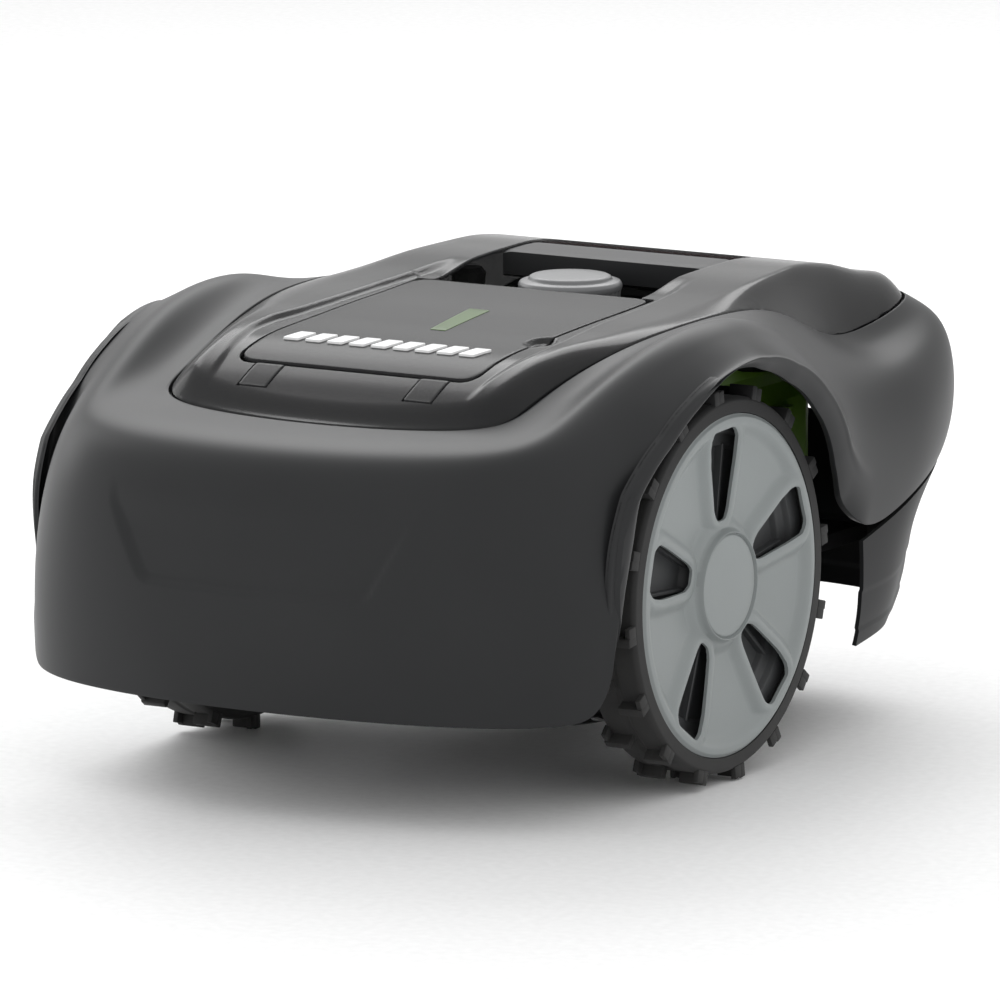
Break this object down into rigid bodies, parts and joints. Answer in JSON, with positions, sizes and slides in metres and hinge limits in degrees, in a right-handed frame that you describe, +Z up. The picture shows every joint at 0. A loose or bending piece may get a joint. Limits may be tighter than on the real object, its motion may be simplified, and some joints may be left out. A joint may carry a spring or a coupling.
{
  "type": "robotic lawn mower",
  "caption": "Robotic lawn mower with a floating shell, smoked cover and hatch, height dial, driven rear wheels, front casters and a swinging-blade cutting disc.",
  "frame": {"origin": "on the ground below the middle of the outline", "axes": "+Z up, +Y towards the front (caster) end, +X to the right when looking towards the front"},
  "size_m": [0.413, 0.5894, 0.274],
  "materials": {
    "black_plastic": "fine grain",
    "brass_contact": "polished",
    "circuit_board": "solder mask",
    "display_glass": "polished",
    "green_plastic": "satin",
    "grey_plastic": "satin",
    "key_rubber": "matt",
    "knob_plastic": "satin",
    "motor_case": "satin",
    "red_plastic": "gloss",
    "shell_plastic": "satin charcoal",
    "smoked_cover": "smoked transparent, polished",
    "steel": "brushed",
    "tyre_rubber": "matt",
    "white_plastic": "satin"
  },
  "bodies": {
    "chassis": {"chassis_base": "black_plastic", "chassis_top": "green_plastic", "battery_pack": "black_plastic", "battery_door": "black_plastic", "main_board": "circuit_board", "gearmotor_left": "motor_case", "gearmotor_right": "motor_case", "charge_contact_left": "brass_contact", "charge_contact_right": "brass_contact", "control_console": "black_plastic", "display_window": "display_glass", "dial_well": "black_plastic", "shell_mount_rear_left": "tyre_rubber", "shell_mount_rear_right": "tyre_rubber", "shell_mount_front_left": "tyre_rubber", "shell_mount_front_right": "tyre_rubber"},
    "shell": {"body_shell": "shell_plastic", "front_skirt": "shell_plastic", "top_cover": "smoked_cover", "carry_handle": "shell_plastic", "stop_button_base": "black_plastic", "hinge_bracket": "black_plastic", "hatch_hinge_pin": "steel"},
    "hatch": {"display_hatch": "smoked_cover", "hatch_hinge_left": "black_plastic", "hatch_hinge_right": "black_plastic", "hatch_badge": "white_plastic", "hatch_stripe": "green_plastic"},
    "stop_button": {"stop_button": "red_plastic"},
    "key_back": {"key_back": "key_rubber"},
    "key_down": {"key_down": "key_rubber"},
    "key_up": {"key_up": "key_rubber"},
    "key_ok": {"key_ok": "key_rubber"},
    "main_switch": {"main_switch": "red_plastic"},
    "dial": {"height_dial": "knob_plastic", "height_shaft": "steel"},
    "deck": {"deck_carrier": "black_plastic", "blade_motor": "motor_case"},
    "disc": {"cutter_disc": "black_plastic", "blade_screw_1": "steel", "blade_screw_2": "steel", "blade_screw_3": "steel"},
    "blade_1": {"blade_1": "steel"},
    "blade_2": {"blade_2": "steel"},
    "blade_3": {"blade_3": "steel"},
    "skid": {"skid_plate": "black_plastic"},
    "drive_left": {"tyre_left": "tyre_rubber", "hubcap_left": "grey_plastic", "wheel_core_left": "black_plastic", "drive_axle_left": "steel"},
    "drive_right": {"tyre_right": "tyre_rubber", "hubcap_right": "grey_plastic", "wheel_core_right": "black_plastic", "drive_axle_right": "steel"},
    "caster_left": {"caster_fork_left": "black_plastic", "caster_pin_left": "steel"},
    "caster_right": {"caster_fork_right": "black_plastic", "caster_pin_right": "steel"},
    "caster_roller_left": {"caster_wheel_left": "tyre_rubber"},
    "caster_roller_right": {"caster_wheel_right": "tyre_rubber"}
  },
  "joints": [
    {"name": "shell_float", "type": "slide", "parent": "chassis", "child": "shell", "axis": [0, 1, 0], "range_m": [-0.005, 0.005], "stiffness_N_per_m": 4000},
    {"name": "hatch_hinge", "type": "hinge", "parent": "shell", "child": "hatch", "pos_m": [0, -0.1836, 0.2325], "axis": [1, 0, 0], "range_deg": [0, 100]},
    {"name": "stop_press", "type": "slide", "parent": "shell", "child": "stop_button", "axis": [0, 0, -1], "range_m": [0, 0.003], "stiffness_N_per_m": 800, "springref_m": -0.002},
    {"name": "key_back_press", "type": "slide", "parent": "chassis", "child": "key_back", "axis": [0, 0, -1], "range_m": [0, 0.0012], "stiffness_N_per_m": 600, "springref_m": -0.0005},
    {"name": "key_down_press", "type": "slide", "parent": "chassis", "child": "key_down", "axis": [0, 0, -1], "range_m": [0, 0.0012], "stiffness_N_per_m": 600, "springref_m": -0.0005},
    {"name": "key_up_press", "type": "slide", "parent": "chassis", "child": "key_up", "axis": [0, 0, -1], "range_m": [0, 0.0012], "stiffness_N_per_m": 600, "springref_m": -0.0005},
    {"name": "key_ok_press", "type": "slide", "parent": "chassis", "child": "key_ok", "axis": [0, 0, -1], "range_m": [0, 0.0012], "stiffness_N_per_m": 600, "springref_m": -0.0005},
    {"name": "main_switch_rock", "type": "hinge", "parent": "chassis", "child": "main_switch", "pos_m": [0.05, -0.0851, 0.243], "axis": [1, 0, 0], "range_deg": [-7, 7]},
    {"name": "dial_turn", "type": "hinge", "parent": "chassis", "child": "dial", "pos_m": [0, 0.0666, 0.268], "axis": [0, 0, -1], "range_deg": [0, 270]},
    {"name": "deck_lift", "type": "slide", "parent": "chassis", "child": "deck", "axis": [0, 0, 1], "range_m": [0, 0.04]},
    {"name": "disc_spin", "type": "hinge", "parent": "deck", "child": "disc", "pos_m": [0, 0.0299, 0.0255], "axis": [0, 0, 1], "continuous": true},
    {"name": "blade_1_pivot", "type": "hinge", "parent": "disc", "child": "blade_1", "pos_m": [0, 0.1039, 0.0221], "axis": [0, 0, 1], "continuous": true},
    {"name": "blade_2_pivot", "type": "hinge", "parent": "disc", "child": "blade_2", "pos_m": [-0.06409, -0.0071, 0.0221], "axis": [0, 0, 1], "continuous": true},
    {"name": "blade_3_pivot", "type": "hinge", "parent": "disc", "child": "blade_3", "pos_m": [0.06409, -0.0071, 0.0221], "axis": [0, 0, 1], "continuous": true},
    {"name": "skid_spin", "type": "hinge", "parent": "disc", "child": "skid", "pos_m": [0, 0.0299, 0.0137], "axis": [0, 0, 1], "continuous": true},
    {"name": "drive_left_spin", "type": "hinge", "parent": "chassis", "child": "drive_left", "pos_m": [-0.16, -0.0551, 0.1165], "axis": [1, 0, 0], "continuous": true},
    {"name": "caster_left_swivel", "type": "hinge", "parent": "chassis", "child": "caster_left", "pos_m": [-0.062, 0.2009, 0.0825], "axis": [0, 0, 1], "continuous": true},
    {"name": "caster_left_roll", "type": "hinge", "parent": "caster_left", "child": "caster_roller_left", "pos_m": [-0.062, 0.1809, 0.036], "axis": [1, 0, 0], "continuous": true},
    {"name": "drive_right_spin", "type": "hinge", "parent": "chassis", "child": "drive_right", "pos_m": [0.16, -0.0551, 0.1165], "axis": [1, 0, 0], "continuous": true},
    {"name": "caster_right_swivel", "type": "hinge", "parent": "chassis", "child": "caster_right", "pos_m": [0.062, 0.2009, 0.0825], "axis": [0, 0, 1], "continuous": true},
    {"name": "caster_right_roll", "type": "hinge", "parent": "caster_right", "child": "caster_roller_right", "pos_m": [0.062, 0.1809, 0.036], "axis": [1, 0, 0], "continuous": true}
  ],
  "couplings": [
    {"joint": "dial_turn", "follows": "deck_lift", "rad_per_m": 117.8}
  ]
}
